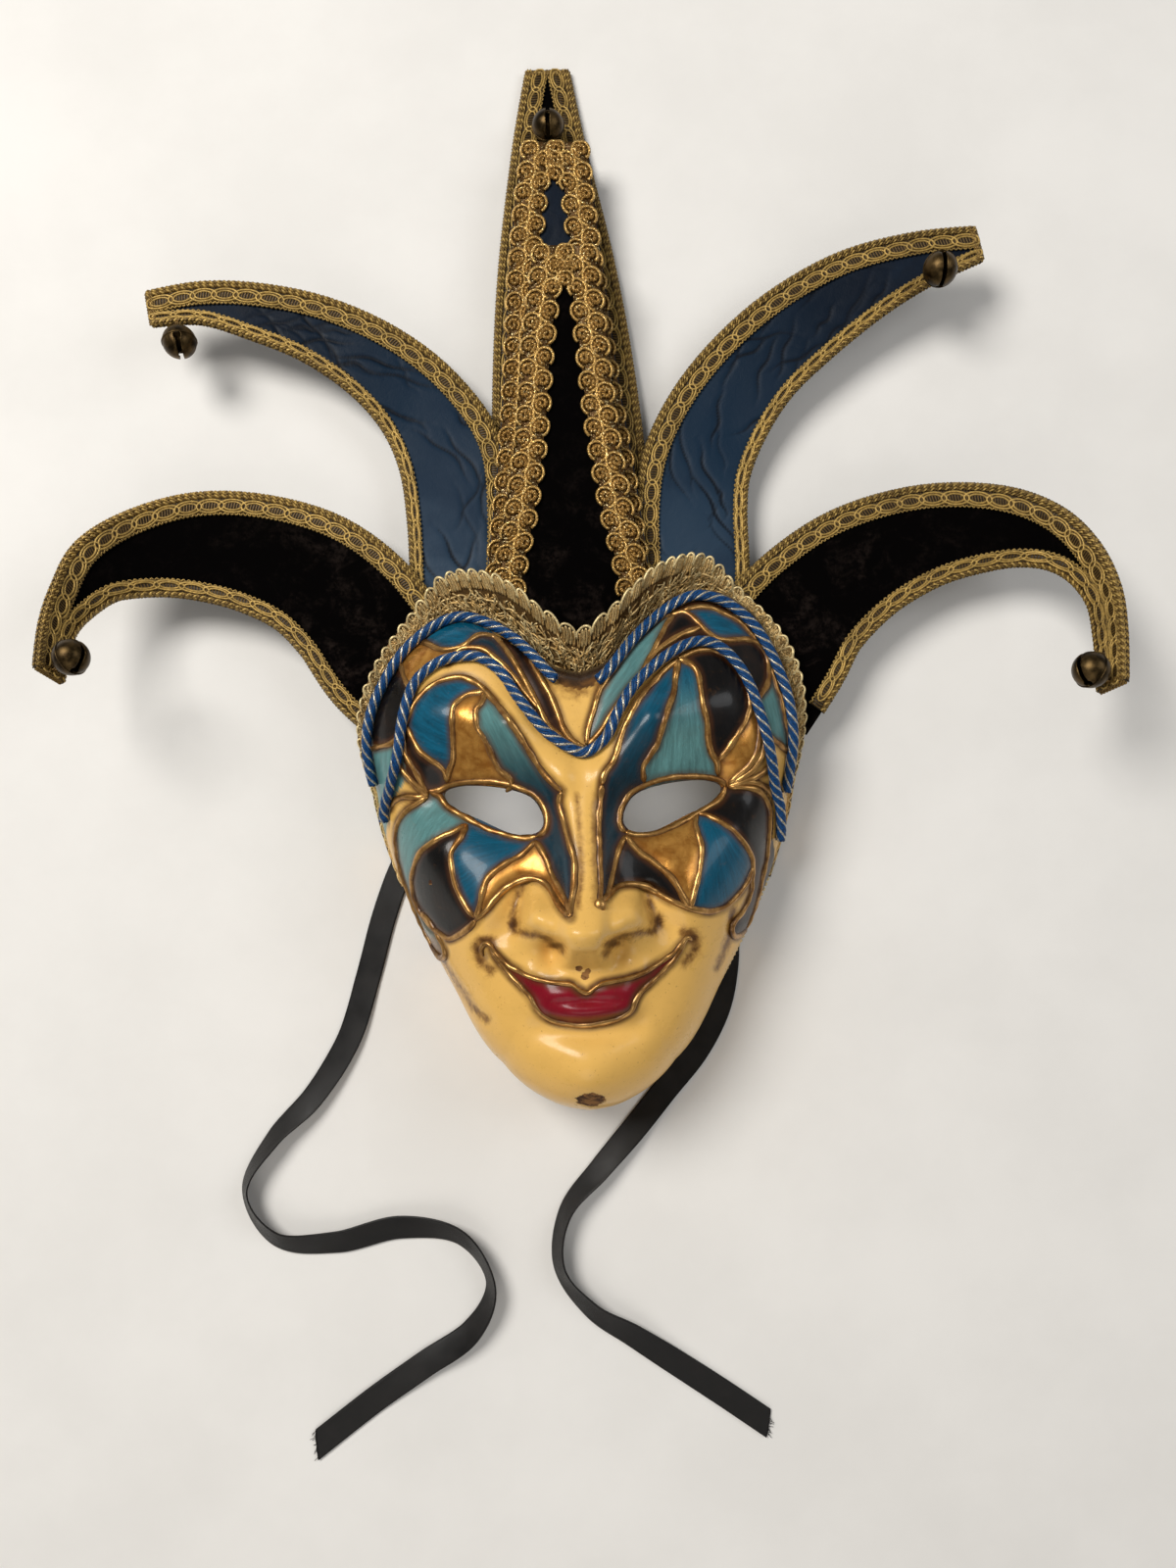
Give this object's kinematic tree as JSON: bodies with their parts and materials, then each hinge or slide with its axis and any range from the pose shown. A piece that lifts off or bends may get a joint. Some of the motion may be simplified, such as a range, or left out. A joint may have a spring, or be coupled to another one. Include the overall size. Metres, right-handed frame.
{
  "type": "carnival mask",
  "caption": "Full-face papier mache jester mask with painted patches, raised gold lines, curved cloth horns trimmed with braid and bells, and two tie ribbons.",
  "frame": {"origin": "on the surface the mask lies on, under the middle of its box without the loose ribbons", "axes": "+Z out of the face, upwards as it lies on its back; +Y towards the horns at the crown; +X to the viewer's right"},
  "size_m": [0.4056, 0.5721, 0.0818],
  "materials": {
    "painted_papier_mache": "painted and varnished, gold lines, antiqued",
    "twisted_cord": "blue yarns with silver strands",
    "galloon": "bronze metallic yarn",
    "black_velvet": "crushed velvet",
    "blue_satin": "creased satin",
    "gold_braid": "antique gold yarn",
    "gold_gimp": "glittering gold gimp",
    "antique_brass": "dark patina",
    "black_ribbon": "satin"
  },
  "bodies": {
    "root": {"face_shell": "painted_papier_mache", "inner_cord": "twisted_cord", "outer_cord_left": "twisted_cord", "outer_cord_right": "twisted_cord", "edge_ruffle": "galloon", "left_black_horn": "black_velvet", "left_black_braid": "gold_braid", "left_blue_horn": "blue_satin", "left_blue_braid": "gold_braid", "back_black_spike": "black_velvet", "back_spike_braid": "gold_braid", "middle_blue_spike": "blue_satin", "middle_spike_gimp": "gold_gimp", "front_black_spike": "black_velvet", "front_spike_gimp": "gold_gimp", "right_blue_horn": "blue_satin", "right_blue_braid": "gold_braid", "right_black_horn": "black_velvet", "right_black_braid": "gold_braid", "bell_left_black": "antique_brass", "bell_left_blue": "antique_brass", "bell_back_spike": "antique_brass", "bell_right_blue": "antique_brass", "bell_right_black": "antique_brass", "ribbon_left": "black_ribbon", "ribbon_right": "black_ribbon"}
  },
  "joints": []
}
